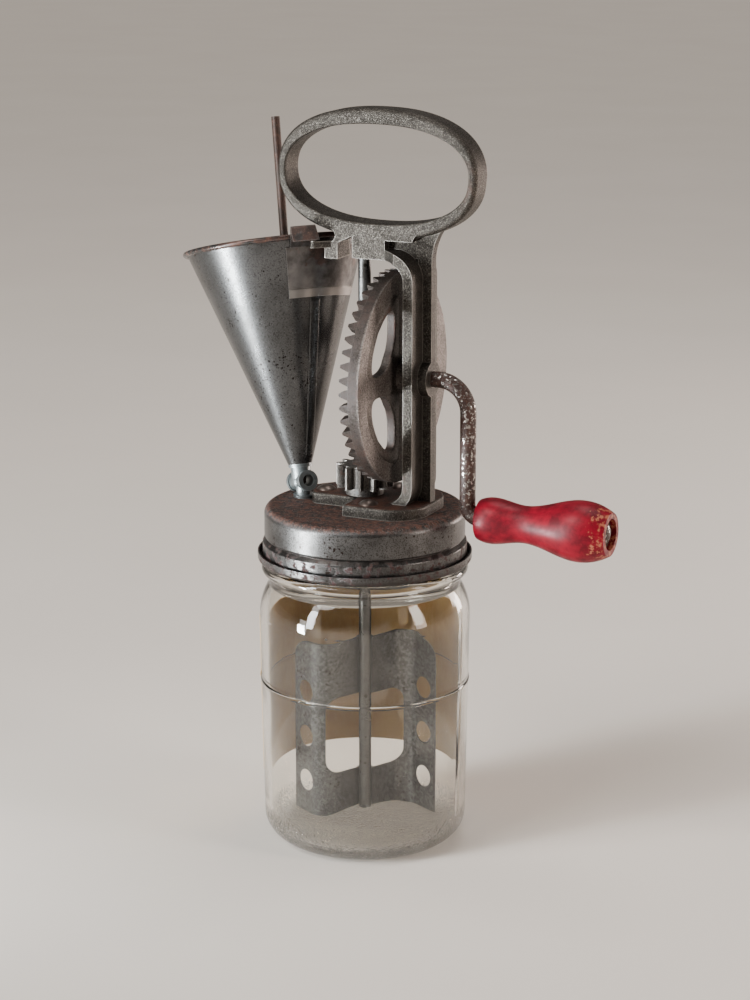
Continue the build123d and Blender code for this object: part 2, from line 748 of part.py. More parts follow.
# Oil funnel: a sheet cone with its rim rolled round a wire
cone_top = funnel_r - curl_r + tin / 2
cone_tip = tip_r + tin / 2
cone_angle = atan((cone_top - cone_tip) / funnel_len)
with BuildPart() as funnel_cone:
    with BuildSketch(funnel_section(0)):
        with BuildLine():
            Line((cone_tip, 0), (cone_top, funnel_len))
        trace(line_width=tin)
        with Locations((funnel_r, funnel_len)):
            Circle(curl_r)
            Circle(curl_r - tin, mode=Mode.SUBTRACT)
    revolve(axis=funnel_axis)
funnel_cone.part.label = "funnel_cone"
export_step(funnel_cone.part, "parts/funnel_cone.step")

# Wire inside the rolled rim
with BuildPart() as rim_wire:
    with BuildSketch(funnel_section(0)):
        with Locations((funnel_r, funnel_len)):
            Circle(wire_r)
    revolve(axis=funnel_axis)
rim_wire.part.label = "rim_wire"
export_step(rim_wire.part, "parts/rim_wire.step")

# Funnel clip: a plate that hugs the cone, hemmed below, its top strip folded over into a hook
clip_off = (tin + seat_gap) / cos(cone_angle)


def clip_point(below):
    """Point of the clip's middle line on the cone, a length below the rim."""
    height = funnel_len - below
    return (cone_tip + height * tan(cone_angle) + clip_off, height)


with BuildPart() as funnel_clip:
    with BuildSketch(funnel_section(-clip_back_arc)):
        with BuildLine():
            Line(clip_point(clip_low), clip_point(clip_top))
        trace(line_width=tin)
        with BuildLine():
            hem_in = clip_point(clip_low)
            hem_up = clip_point(clip_low - clip_hem)
            Line((hem_in[0] + tin, hem_in[1]), (hem_up[0] + tin, hem_up[1]))
        trace(line_width=tin)
    revolve(axis=funnel_axis, revolution_arc=clip_back_arc + clip_front_arc)
    with BuildSketch(funnel_section(-hook_back_arc)):
        with BuildLine():
            FilletPolyline(
                clip_point(clip_top + clip_lap),
                clip_point(clip_top),
                (hook_mid, funnel_len - curl_r),
                (hook_mid + hook_fold, funnel_len + hook_rise),
                (hook_mid + hook_gap, funnel_len - hook_drop),
                radius=[hook_bend, hook_bend, hook_bend],
            )
        trace(line_width=tin)
    revolve(axis=funnel_axis, revolution_arc=hook_back_arc + hook_front_arc)
funnel_clip.part.label = "funnel_clip"
export_step(funnel_clip.part, "parts/funnel_clip.step")

# Drip valve: a ball body with a cross barrel, a spout through the lid and a neck into the funnel's tip
with BuildPart() as drip_valve:
    with Locations(valve_at):
        Sphere(valve_r)
    with BuildSketch(Plane(origin=valve_at, z_dir=funnel_out)):
        Circle(barrel_r)
    extrude(amount=barrel_half, both=True)
    with BuildSketch(
        Plane(origin=valve_at + funnel_out * (barrel_half - barrel_lip), z_dir=funnel_out),
        Plane(origin=valve_at - funnel_out * barrel_half, z_dir=funnel_out),
    ):
        Circle(barrel_lip_r)
    extrude(amount=barrel_lip)
    with BuildSketch(Plane.XY.offset(lid_under - spout_drop)):
        with Locations((spout_x, 0)):
            Circle(spout_r)
    extrude(amount=spout_drop + lid_sheet + valve_rise)
    with BuildSketch(Plane.XY.offset(lid_top + seat_gap)):
        with Locations((spout_x, 0)):
            Circle(spout_r + spout_shoulder)
    extrude(amount=spout_shoulder)
    with BuildSketch(Plane(origin=valve_at, z_dir=funnel_up)):
        Circle(neck_r)
    extrude(amount=neck_len)
    with BuildSketch(Plane(origin=tip_at - funnel_up * neck_lip, z_dir=funnel_up)):
        Circle(tip_r + tin)
    extrude(amount=neck_lip - seat_gap)
    with BuildSketch(Plane(origin=tip_at - funnel_up * seat_gap, z_dir=funnel_up)):
        Circle(tip_r - seat_gap)
    extrude(amount=nipple_h, taper=-degrees(cone_angle))
    with BuildSketch(Plane(origin=valve_at, z_dir=funnel_out)):
        Circle(barrel_bore)
    extrude(amount=barrel_half, both=True, mode=Mode.SUBTRACT)
    with BuildSketch(Plane.XY.offset(lid_under - spout_drop)):
        with Locations((spout_x, 0)):
            Circle(drip_r)
    extrude(amount=spout_drop + lid_sheet + valve_rise, mode=Mode.SUBTRACT)
    with BuildSketch(Plane(origin=valve_at - funnel_up * needle_seat, z_dir=funnel_up)):
        Circle(throat_r)
    extrude(amount=needle_seat + neck_len + nipple_h, taper=needle_lean - funnel_lean, mode=Mode.SUBTRACT)
drip_valve.part.label = "drip_valve"
export_step(drip_valve.part, "parts/drip_valve.step")

# Needle: a rod with a pointed end in the valve, standing less steeply out than the funnel
needle_tilt = radians(needle_lean)
needle_up = hook_way * -sin(needle_tilt) + Vector(0, 0, cos(needle_tilt))
with BuildPart() as needle_rod:
    with BuildSketch(Plane(origin=valve_at - needle_up * needle_seat, z_dir=needle_up)):
        Circle(needle_r)
    extrude(amount=needle_len)
    chamfer(needle_rod.faces().sort_by(Axis.Z)[0].edges(), length=needle_point)
needle_rod.part.label = "needle_rod"
export_step(needle_rod.part, "parts/needle_rod.step")
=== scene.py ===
"""Looks of a hand crank jar mixer: glass jar, tin lid, cast frame, crown wheel, dasher and oil funnel."""
from math import pi, radians

import bpy
import numpy as np
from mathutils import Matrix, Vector


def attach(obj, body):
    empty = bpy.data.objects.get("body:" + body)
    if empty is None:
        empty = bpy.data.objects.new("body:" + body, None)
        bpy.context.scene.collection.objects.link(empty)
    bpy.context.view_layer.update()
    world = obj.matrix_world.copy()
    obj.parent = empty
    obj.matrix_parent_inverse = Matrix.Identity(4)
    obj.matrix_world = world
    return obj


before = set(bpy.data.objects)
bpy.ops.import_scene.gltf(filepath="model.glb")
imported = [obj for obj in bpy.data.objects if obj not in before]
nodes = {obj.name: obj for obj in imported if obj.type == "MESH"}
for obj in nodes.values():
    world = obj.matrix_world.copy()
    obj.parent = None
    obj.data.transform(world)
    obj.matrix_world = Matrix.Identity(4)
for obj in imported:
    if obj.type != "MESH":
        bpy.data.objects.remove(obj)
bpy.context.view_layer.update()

# The camera stands in front, a little to the crank's side, and looks down on the lid.
# Its lens is given for the 750 by 1000 picture, on a sensor 36 mm high.
camera_data = bpy.data.cameras.new("camera")
camera_data.sensor_fit = "VERTICAL"
camera_data.sensor_height = 36.0
camera_data.lens = 93.3
camera = bpy.data.objects.new("camera", camera_data)
camera.location = (0.4736, -0.9928, 0.4453)
camera.rotation_euler = (radians(75.2), 0.0, radians(25.27))
bpy.context.scene.collection.objects.link(camera)
bpy.context.scene.camera = camera


# Soft studio light: a tall window on each side, a low card for the bright stripe on the funnel, a warm card behind
# the glass and a ceiling. Daylight from the front throws the shadow behind the jar, and the surround is dim and warm.
def soft_panel(name, place, aim, width, height, watts, colour):
    """A rectangular light at a place, its face turned to the point it is aimed at."""
    data = bpy.data.lights.new(name, "AREA")
    data.shape = "RECTANGLE"
    data.size = width
    data.size_y = height
    data.energy = watts
    data.color = colour
    panel = bpy.data.objects.new(name, data)
    panel.location = place
    direction = Vector([a - p for a, p in zip(aim, place)])
    panel.rotation_euler = direction.to_track_quat("-Z", "Y").to_euler()
    bpy.context.scene.collection.objects.link(panel)
    return data


mixer_middle = (0.0, 0.0, 0.2)
lid_middle = (0.0, 0.0, 0.15)
funnel_side = (-0.05, 0.0, 0.17)
soft_panel("window_left", (-0.72, -1.02, 0.4), mixer_middle, 0.2, 0.7, 18.0, (0.93, 0.98, 1.0))
low_card = soft_panel("low_card", (-0.35, -0.36, 0.06), funnel_side, 0.08, 0.11, 1.25, (0.9, 0.97, 1.0))
low_card.spread = radians(75)
soft_panel("window_right", (1.3, -0.05, 0.5), mixer_middle, 0.3, 0.9, 9.0, (1.0, 0.9, 0.82))
soft_panel("back_card", (0.6, 1.05, 0.16), mixer_middle, 0.25, 0.3, 6.0, (1.0, 0.85, 0.77))
soft_panel("ceiling", (0.1, 0.3, 1.6), lid_middle, 0.9, 0.6, 9.0, (1.0, 0.98, 0.96))
daylight = bpy.data.lights.new("daylight", "SUN")
daylight.energy = 1.75
daylight.angle = radians(26)
daylight.color = (1.0, 0.97, 0.93)
daylight_object = bpy.data.objects.new("daylight", daylight)
daylight_object.rotation_euler = (radians(42), 0.0, radians(-32))
bpy.context.scene.collection.objects.link(daylight_object)
world = bpy.data.worlds.new("surround")
world.use_nodes = True
world.node_tree.nodes["Background"].inputs["Color"].default_value = (0.9, 0.82, 0.75, 1.0)
world.node_tree.nodes["Background"].inputs["Strength"].default_value = 0.22
bpy.context.scene.world = world


# The floor is a plain pale sheet that the jar stands on.
def surface(name, points, close_u=False, close_v=False):
    """A mesh from a grid of points (rows u, columns v): neighbours in the grid become one four-sided face."""
    rows, columns = points.shape[:2]
    u = np.arange(rows if close_u else rows - 1)
    v = np.arange(columns if close_v else columns - 1)
    uu, vv = np.meshgrid(u, v, indexing="ij")
    u2 = (uu + 1) % rows
    v2 = (vv + 1) % columns
    faces = np.stack([uu * columns + vv, u2 * columns + vv, u2 * columns + v2, uu * columns + v2], axis=-1)
    mesh = bpy.data.meshes.new(name)
    mesh.from_pydata(points.reshape(-1, 3), [], faces.reshape(-1, 4).tolist())
    mesh.polygons.foreach_set("use_smooth", np.ones(len(mesh.polygons), dtype=bool))
    mesh.update()
    piece = bpy.data.objects.new(name, mesh)
    bpy.context.scene.collection.objects.link(piece)
    return piece


def new_material(name):
    """A new material: its node tree, its Principled shader and its Object coordinates."""
    material = bpy.data.materials.new(name)
    material.use_nodes = True
    tree = material.node_tree
    shader = tree.nodes["Principled BSDF"]
    place = tree.nodes.new("ShaderNodeTexCoord").outputs["Object"]
    return material, tree, shader, place


def feed(tree, node, inputs):
    """Fills a node's inputs. Each gets a plain value or another node's output."""
    for key, value in inputs.items():
        if isinstance(value, bpy.types.NodeSocket):
            tree.links.new(value, node.inputs[key])
        else:
            node.inputs[key].default_value = value


def put(tree, kind, inputs, **settings):
    """One new node in a tree, with its settings and inputs."""
    node = tree.nodes.new(kind)
    for key, value in settings.items():
        setattr(node, key, value)
    feed(tree, node, inputs)
    return node


def noise(tree, place, scale, detail=3.0, roughness=0.55):
    """Noise value at a place, between 0 and 1."""
    node = put(tree, "ShaderNodeTexNoise", {"Vector": place, "Scale": scale, "Detail": detail, "Roughness": roughness})
    return node.outputs["Fac"]


def ramp(tree, value, low, high, to_low=0.0, to_high=1.0):
    """A value eased from one range to another and held at its ends."""
    node = put(tree, "ShaderNodeMapRange", {"Value": value, "From Min": low, "From Max": high, "To Min": to_low,
                                            "To Max": to_high}, interpolation_type="SMOOTHSTEP")
    return node.outputs["Result"]


def maths(tree, operation, first, second):
    """Two values put together by one sum, product or comparison."""
    return put(tree, "ShaderNodeMath", {0: first, 1: second}, operation=operation).outputs["Value"]


def blend(tree, mask, under, over):
    """One colour laid over another where the mask is 1."""
    node = put(tree, "ShaderNodeMix", {0: mask, 6: under, 7: over}, data_type="RGBA")
    return node.outputs[2]


def wear(tree, shader, bumps):
    """Bump heights, each with its strength and depth, chained into the shader's normal."""
    normal = None
    for height, strength, depth in bumps:
        inputs = {"Height": height, "Strength": strength, "Distance": depth}
        if normal is not None:
            inputs["Normal"] = normal
        normal = put(tree, "ShaderNodeBump", inputs).outputs["Normal"]
    feed(tree, shader, {"Normal": normal})


def dress(piece, material):
    """Gives a piece or a CAD node one material."""
    piece.data.materials.clear()
    piece.data.materials.append(material)


floor_half = 14.0
floor_ends = np.linspace(-floor_half, floor_half, 2)
floor_grid = np.stack(np.meshgrid(floor_ends, floor_ends, [0.0], indexing="ij"), axis=-1).reshape(2, 2, 3)
floor = surface("floor", floor_grid)
floor_paper, tree, shader, place = new_material("floor_paper")
paper_tone = blend(tree, noise(tree, place, 6.0), (0.71, 0.65, 0.59, 1.0), (0.77, 0.71, 0.65, 1.0))
feed(tree, shader, {"Base Color": paper_tone, "Roughness": 0.9})
dress(floor, floor_paper)


# Glass jar: pressed clear glass, faintly warm, with a thick stippled base and heel and slow waves in its wall.
# It stands on its base and carries everything else on its neck.
def coordinate(tree, place, axis):
    """One coordinate of a place or a direction, by the name of its axis."""
    return put(tree, "ShaderNodeSeparateXYZ", {0: place}).outputs[axis]


clear_glass, tree, shader, place = new_material("clear_glass")
warm_tint = (0.982, 0.964, 0.918, 1.0)
feed(tree, shader, {"Base Color": warm_tint, "Roughness": 0.012, "IOR": 1.48, "Transmission Weight": 1.0})
heel_z, base_z = 0.017, 0.009
base_only = ramp(tree, coordinate(tree, place, "Z"), heel_z, base_z)
stipple = put(tree, "ShaderNodeTexVoronoi", {"Vector": place, "Scale": 950.0}).outputs["Distance"]
stipple_height = maths(tree, "MULTIPLY", stipple, base_only)
waves = noise(tree, place, 26.0, detail=1.0)
wear(tree, shader, [(waves, 0.16, 0.002), (stipple_height, 0.7, 0.0006)])
dress(nodes["glass_jar"], clear_glass)


# The jar's screw thread: a rounded glass ridge that climbs the neck, with its ends run out.
def helix_ridge(radius, low, pitch, turns, tall, deep):
    """A half-round ridge on a cylinder. Along the turn the height rises evenly and the ridge swells from nothing and
    fades again; across it the profile is half a cosine wave, sunk a little into the wall."""
    sunk = 0.0003
    run_out_turns = 0.125
    along = np.linspace(0.0, 1.0, 241)[:, None]
    across = np.linspace(-1.0, 1.0, 13)[None, :]
    angle = 2 * pi * turns * along + 0 * across
    swell = np.clip(np.minimum(along, 1 - along) * turns / run_out_turns, 0.0, 1.0)
    out = radius - sunk + (deep + sunk) * swell * np.cos(across * pi / 2)
    rise = low + pitch * turns * along + across * tall / 2
    return np.stack([out * np.cos(angle), out * np.sin(angle), rise], axis=-1)


thread_points = helix_ridge(radius=0.0412, low=0.1345, pitch=0.0036, turns=1.6, tall=0.0026, deep=0.0011)
jar_thread = surface("jar_thread", thread_points)
dress(jar_thread, clear_glass)
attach(jar_thread, "jar")


# Painted shadow: a thin tan sheet round the back of the jar, between heel and shoulder, stands in for the shadow
# that falls behind the jar and shows through the glass from the front. It follows the wall and the raised line.
def shade_strip(first, last, low, high):
    """A part of the jar's wall, pushed out by a thin gap. Round the jar the angle runs evenly from one edge
    to the other. The radius grows evenly with the height, plus a bell curve over the raised line."""
    wall_low, radius_low = 0.012, 0.0452
    wall_high, radius_high = 0.104, 0.0466
    line_z, line_half, line_raised = 0.0738, 0.0016, 0.0005
    stand_off = 0.00012
    angle = np.radians(np.linspace(first, last, 97))[:, None]
    rise = np.linspace(low, high, 61)[None, :]
    wall = radius_low + (radius_high - radius_low) * (rise - wall_low) / (wall_high - wall_low)
    out = wall + stand_off + line_raised * np.exp(-((rise - line_z) / line_half) ** 2)
    return np.stack([out * np.cos(angle), out * np.sin(angle), rise + 0 * angle], axis=-1)


shade_sheet = surface("shade_sheet", shade_strip(first=34.0, last=203.0, low=0.0285, high=0.1015))
shade_sheet_wall = shade_sheet.modifiers.new("thickness", "SOLIDIFY")
shade_sheet_wall.thickness = 0.0002
shade_sheet_wall.offset = 1.0
shadow_tan, tree, shader, place = new_material("shadow_tan")
shadow_blotch = noise(tree, place, 38.0, detail=5.0, roughness=0.6)
upright = put(tree, "ShaderNodeMapping", {"Vector": place, "Scale": (1.0, 1.0, 0.3)}).outputs["Vector"]
shadow_streaks = noise(tree, upright, 900.0)
# The sheet's tan, blotchy, streaked colour is painted shadow.
shadow_tone = blend(tree, ramp(tree, shadow_blotch, 0.3, 0.7), (0.5, 0.28, 0.09, 1.0), (0.66, 0.41, 0.16, 1.0))
shadow_tone = blend(tree, ramp(tree, shadow_streaks, 0.4, 0.7, 0.0, 0.35), shadow_tone, (0.68, 0.46, 0.23, 1.0))
feed(tree, shader, {"Base Color": shadow_tone, "Roughness": ramp(tree, shadow_blotch, 0.3, 0.7, 0.7, 0.88)})
wear(tree, shader, [(shadow_streaks, 0.2, 0.0002), (shadow_blotch, 0.2, 0.0006)])
dress(shade_sheet, shadow_tan)
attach(shade_sheet, "jar")

# Seal: a flat red-brown rubber ring, pressed between the jar's mouth and the lid.
seal_rubber, tree, shader, place = new_material("seal_rubber")
rubber_tone = blend(tree, noise(tree, place, 220.0), (0.23, 0.06, 0.035, 1.0), (0.33, 0.1, 0.06, 1.0))
feed(tree, shader, {"Base Color": rubber_tone, "Roughness": 0.75})
wear(tree, shader, [(noise(tree, place, 900.0), 0.2, 0.0003)])
dress(nodes["lid_seal"], seal_rubber)


# Screw lid: drawn tinplate, rusted brown all over its flat top, with dark pin holes in the wall and red-brown
# spots along the lower band. Painted shade darkens its groove, and it is darker towards its lower edge. The frame
# is riveted to it.
def new_effect(name, inputs, outputs):
    """A shader group: its tree, its input sockets and its output node."""
    group = bpy.data.node_groups.new(name, "ShaderNodeTree")
    for socket, kind in inputs:
        group.interface.new_socket(socket, in_out="INPUT", socket_type=kind)
    for socket, kind in outputs:
        group.interface.new_socket(socket, in_out="OUTPUT", socket_type=kind)
    given = group.nodes.new("NodeGroupInput").outputs
    result = group.nodes.new("NodeGroupOutput")
    return group, given, result


def use(tree, group, inputs):
    """One placed copy of a shader group, with its own values."""
    return put(tree, "ShaderNodeGroup", inputs, node_tree=group).outputs


# Pits are small holes of uneven size with ragged edges. They stand in crowds.
pits, given, result = new_effect("pits", [("Place", "NodeSocketVector"), ("Scale", "NodeSocketFloat"),
                                          ("Size", "NodeSocketFloat")], [("Mask", "NodeSocketFloat")])
cells = put(pits, "ShaderNodeTexVoronoi", {"Vector": given["Place"], "Scale": given["Scale"]})
chance = put(pits, "ShaderNodeSeparateColor", {0: cells.outputs["Color"]}).outputs["Red"]
chance = maths(pits, "POWER", chance, 4.0)
crowd = ramp(pits, noise(pits, given["Place"], 70.0, detail=3.0), 0.38, 0.68, 0.25, 1.0)
reach = maths(pits, "MULTIPLY", maths(pits, "MULTIPLY", chance, crowd), given["Size"])
ragged = maths(pits, "MULTIPLY", noise(pits, given["Place"], 2600.0, detail=1.0), 0.3)
inside = maths(pits, "SUBTRACT", reach, maths(pits, "ADD", cells.outputs["Distance"], ragged))
feed(pits, result, {"Mask": ramp(pits, inside, 0.0, 0.16)})

# Rust comes in patches that grow with its cover. Its brown has darker stains and paler grains.
rust, given, result = new_effect("rust", [("Place", "NodeSocketVector"), ("Scale", "NodeSocketFloat"),
                                          ("Cover", "NodeSocketFloat")],
                                 [("Mask", "NodeSocketFloat"), ("Colour", "NodeSocketColor")])
patches = noise(rust, given["Place"], given["Scale"], detail=6.0, roughness=0.68)
least = maths(rust, "SUBTRACT", 0.86, maths(rust, "MULTIPLY", given["Cover"], 0.72))
above = maths(rust, "SUBTRACT", patches, least)
grains = noise(rust, given["Place"], 1400.0, detail=2.0)
stains = noise(rust, given["Place"], 240.0, detail=5.0, roughness=0.7)
brown = blend(rust, ramp(rust, stains, 0.35, 0.65), (0.024, 0.013, 0.01, 1.0), (0.085, 0.034, 0.022, 1.0))
brown = blend(rust, ramp(rust, grains, 0.55, 0.75), brown, (0.15, 0.075, 0.05, 1.0))
feed(rust, result, {"Mask": ramp(rust, above, 0.0, 0.09), "Colour": brown})

top_zone, band_zone, foot_zone = (0.1500, 0.1524), (0.1405, 0.1362), (0.1312, 0.1297)
trough_upper, trough_lower = (0.1402, 0.1391), (0.1368, 0.1382)
lid_tin, tree, shader, place = new_material("lid_tin")
height = coordinate(tree, place, "Z")
cloud = noise(tree, place, 90.0, detail=6.0, roughness=0.62)
tarnish_and_shade = blend(tree, ramp(tree, cloud, 0.3, 0.7), (0.06, 0.058, 0.057, 1.0), (0.115, 0.113, 0.112, 1.0))
fine = ramp(tree, noise(tree, place, 1700.0, detail=3.0, roughness=0.65), 0.48, 0.6, 0.0, 0.75)
tarnish_and_shade = blend(tree, fine, tarnish_and_shade, (0.028, 0.024, 0.022, 1.0))
holes = use(tree, pits, {"Place": place, "Scale": 900.0, "Size": 1.25})["Mask"]
tarnish_and_shade = blend(tree, holes, tarnish_and_shade, (0.02, 0.014, 0.012, 1.0))
band_low = ramp(tree, height, *band_zone)
band_rust = use(tree, rust, {"Place": place, "Scale": 340.0, "Cover": 0.485})
band_mask = maths(tree, "MULTIPLY", band_rust["Mask"], band_low)
top_only = ramp(tree, height, *top_zone)
top_rust = use(tree, rust, {"Place": place, "Scale": 150.0, "Cover": 0.8})
top_mask = maths(tree, "MULTIPLY", top_rust["Mask"], top_only)
# Painted shade in the groove, and the lid darker towards its lower edge.
trough = maths(tree, "MULTIPLY", ramp(tree, height, *trough_upper), ramp(tree, height, *trough_lower))
groove_shade_and_dark_foot = maths(tree, "MAXIMUM", ramp(tree, height, *foot_zone), maths(tree, "MULTIPLY", trough, 0.75))
tarnish_and_shade = blend(tree, maths(tree, "MULTIPLY", groove_shade_and_dark_foot, 0.8), tarnish_and_shade, (0.04, 0.034, 0.031, 1.0))
rusty = maths(tree, "MAXIMUM", band_mask, top_mask)
crumbs = noise(tree, place, 420.0, detail=5.0, roughness=0.72)
scale_rust = blend(tree, ramp(tree, crumbs, 0.42, 0.58), (0.012, 0.01, 0.009, 1.0), (0.09, 0.036, 0.024, 1.0))
glints = ramp(tree, noise(tree, place, 1500.0, detail=3.0, roughness=0.65), 0.56, 0.66, 0.0, 0.8)
scale_rust = blend(tree, glints, scale_rust, (0.17, 0.145, 0.13, 1.0))
spot_rust = blend(tree, band_low, scale_rust, (0.036, 0.011, 0.009, 1.0))
dullness = maths(tree, "ADD", rusty, maths(tree, "MULTIPLY", cloud, 0.3))
feed(tree, shader, {"Base Color": blend(tree, rusty, tarnish_and_shade, spot_rust),
                    "Metallic": ramp(tree, rusty, 0.0, 1.0, 0.92, 0.1),
                    "Roughness": ramp(tree, dullness, 0.0, 1.2, 0.3, 0.8)})
wear(tree, shader, [(noise(tree, place, 55.0), 0.2, 0.001), (holes, -0.5, 0.0003), (rusty, 0.45, 0.0003),
                    (noise(tree, place, 1500.0), 0.12, 0.0002)])
dress(nodes["screw_lid"], lid_tin)

# Frame: one grey iron sand casting, grainy all over, brighter where hands rub its edges and brown with rust on top of
# its base plate and on the crank side of the loop.
edges, given, result = new_effect("rubbed_edges", [("Radius", "NodeSocketFloat")], [("Mask", "NodeSocketFloat")])
rounded = put(edges, "ShaderNodeBevel", {"Radius": given["Radius"]}, samples=6).outputs["Normal"]
flat = edges.nodes.new("ShaderNodeNewGeometry").outputs["True Normal"]
agree = put(edges, "ShaderNodeVectorMath", {0: rounded, 1: flat}, operation="DOT_PRODUCT").outputs["Value"]
feed(edges, result, {"Mask": ramp(edges, agree, 0.99, 0.8)})

plate_zone, crank_zone = (0.1592, 0.1581), (0.018, 0.05)
casting_iron, tree, shader, place = new_material("casting_iron")
grain = noise(tree, place, 1900.0, detail=4.0, roughness=0.66)
coarse = noise(tree, place, 240.0, detail=4.0)
iron = blend(tree, ramp(tree, coarse, 0.3, 0.7), (0.034, 0.03, 0.026, 1.0), (0.062, 0.055, 0.048, 1.0))
iron = blend(tree, ramp(tree, grain, 0.52, 0.66), iron, (0.15, 0.135, 0.118, 1.0))
iron = blend(tree, ramp(tree, grain, 0.47, 0.34), iron, (0.02, 0.017, 0.015, 1.0))
rubbed = use(tree, edges, {"Radius": 0.0009})["Mask"]
iron = blend(tree, maths(tree, "MULTIPLY", rubbed, 0.7), iron, (0.34, 0.315, 0.285, 1.0))
crank_side = ramp(tree, coordinate(tree, place, "X"), *crank_zone, 0.3, 0.46)
frame_rust = use(tree, rust, {"Place": place, "Scale": 34.0, "Cover": crank_side})
rust_thin = maths(tree, "MULTIPLY", frame_rust["Mask"], 0.42)
face_up = coordinate(tree, tree.nodes.new("ShaderNodeNewGeometry").outputs["True Normal"], "Z")
plate_top = maths(tree, "MULTIPLY", ramp(tree, coordinate(tree, place, "Z"), *plate_zone),
                  ramp(tree, face_up, 0.75, 0.95))
plate_rust = maths(tree, "MULTIPLY", plate_top, ramp(tree, coarse, 0.25, 0.6, 0.7, 1.0))
browned = maths(tree, "MAXIMUM", rust_thin, plate_rust)
feed(tree, shader, {"Base Color": blend(tree, browned, iron, frame_rust["Colour"]),
                    "Metallic": ramp(tree, browned, 0.0, 1.0, 0.88, 0.25),
                    "Roughness": ramp(tree, grain, 0.3, 0.7, 0.62, 0.42)})
wear(tree, shader, [(coarse, 0.3, 0.0006), (grain, 0.6, 0.0004)])
dress(nodes["frame_casting"], casting_iron)

# Rivets: soft steel, hammered into low domes, mottled grey-brown.
rivet_metal, tree, shader, place = new_material("rivet_metal")
dome_tone = blend(tree, noise(tree, place, 300.0), (0.08, 0.058, 0.05, 1.0), (0.27, 0.22, 0.195, 1.0))
feed(tree, shader, {"Base Color": dome_tone, "Metallic": 0.9, "Roughness": 0.32})
wear(tree, shader, [(noise(tree, place, 500.0), 0.25, 0.0004)])
dress(nodes["frame_rivets"], rivet_metal)


# Crown wheel and pinion: cast iron. The wheel is brown-grey with rust and old grease between its teeth, the pinion is
# worn bright on its tooth ends.
def cast_teeth(name, dark, pale, teeth_from, teeth_to, teeth_rust, grease, edge_shine):
    """Cast iron with rubbed edges. Past a plane across X, where the teeth are, it has more rust and grease."""
    material, tree, shader, place = new_material(name)
    across = coordinate(tree, place, "X")
    grain = noise(tree, place, 1300.0, detail=4.0, roughness=0.66)
    coarse = noise(tree, place, 120.0, detail=5.0)
    iron = blend(tree, ramp(tree, coarse, 0.35, 0.65), dark, pale)
    iron = blend(tree, ramp(tree, grain, 0.52, 0.66), iron, (0.2, 0.178, 0.164, 1.0))
    iron = blend(tree, ramp(tree, grain, 0.47, 0.36), iron, (0.03, 0.024, 0.021, 1.0))
    cover = ramp(tree, across, teeth_from, teeth_to, 0.36, teeth_rust)
    old_rust = use(tree, rust, {"Place": place, "Scale": 90.0, "Cover": cover})
    rust_thin = maths(tree, "MULTIPLY", old_rust["Mask"], 0.85)
    iron = blend(tree, rust_thin, iron, old_rust["Colour"])
    greasy = ramp(tree, across, teeth_from, teeth_to, 0.0, grease)
    iron = blend(tree, greasy, iron, (0.017, 0.013, 0.011, 1.0))
    rubbed = use(tree, edges, {"Radius": 0.0006})["Mask"]
    iron = blend(tree, maths(tree, "MULTIPLY", rubbed, edge_shine), iron, (0.26, 0.24, 0.22, 1.0))
    feed(tree, shader, {"Base Color": iron, "Metallic": ramp(tree, rust_thin, 0.0, 1.0, 0.8, 0.25),
                        "Roughness": ramp(tree, grain, 0.3, 0.7, 0.58, 0.42)})
    wear(tree, shader, [(coarse, 0.2, 0.0008), (grain, 0.45, 0.0004)])
    return material


wheel_iron = cast_teeth("wheel_iron", dark=(0.085, 0.071, 0.064, 1.0), pale=(0.14, 0.12, 0.109, 1.0),
                        teeth_from=0.0186, teeth_to=0.0174, teeth_rust=0.6, grease=0.74, edge_shine=0.16)
pinion_iron = cast_teeth("pinion_iron", dark=(0.07, 0.065, 0.06, 1.0), pale=(0.15, 0.14, 0.13, 1.0),
                         teeth_from=0.03, teeth_to=0.02, teeth_rust=0.4, grease=0.15, edge_shine=0.8)
dress(nodes["crown_wheel"], wheel_iron)
dress(nodes["pinion"], pinion_iron)


# The wheel's broad rim and spokes: flat frames inside the web that leave four small bean-shaped windows.
def window_frame(side, up, centre_z, low_x, high_x, soft):
    """A flat frame in one quarter of the wheel, between two outlines. Each outline is a squared ellipse in radius and
    angle: a middle radius, half a length along it, the even distances that its ends keep from the middle lines of
    the level and the upright spoke, and the power that squares it."""
    bean = (0.0255, 0.0087, 0.0046, 0.0085, 0.62)
    buried = (0.0240, 0.0146, 0.0034, 0.0034, 0.12)
    turn = -side * up * np.linspace(0.0, 2 * pi, 97)[:-1][:, None]
    outlines = []
    for mid, half, level, upright, square in (bean, buried):
        radius = mid + half * np.sign(np.sin(turn)) * np.abs(np.sin(turn)) ** square
        low = np.arcsin(level / radius)
        high = pi / 2 - np.arcsin(upright / radius)
        angle = (low + high) / 2 + (high - low) / 2 * np.sign(np.cos(turn)) * np.abs(np.cos(turn)) ** square
        outlines.append(np.stack([side * radius * np.cos(angle), up * radius * np.sin(angle)], axis=-1))
    inner, outer = outlines
    inwards = (outer - inner) / np.linalg.norm(outer - inner, axis=-1, keepdims=True)
    profile = [(outer, high_x), (inner + 2 * soft * inwards, high_x), (inner + soft * inwards, high_x),
               (inner, high_x - soft), (inner, high_x - 2 * soft), (inner, low_x + 2 * soft), (inner, low_x + soft),
               (inner + soft * inwards, low_x), (inner + 2 * soft * inwards, low_x), (outer, low_x)]
    rows = [np.concatenate([0 * flat[..., :1] + depth, flat], axis=-1) for flat, depth in profile]
    return np.concatenate(rows, axis=1) + np.array([0.0, 0.0, centre_z])


axle_z = 0.2119
tooth_face, crank_face = 0.01465, 0.01855
soft_edge = 0.0004
for number, (side, up) in enumerate(((1, 1), (-1, 1), (-1, -1), (1, -1)), start=1):
    frame_points = window_frame(side, up, axle_z, tooth_face, crank_face, soft_edge)
    wheel_frame = surface("wheel_frame_%d" % number, frame_points, close_u=True, close_v=True)
    dress(wheel_frame, wheel_iron)
    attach(wheel_frame, "crank")

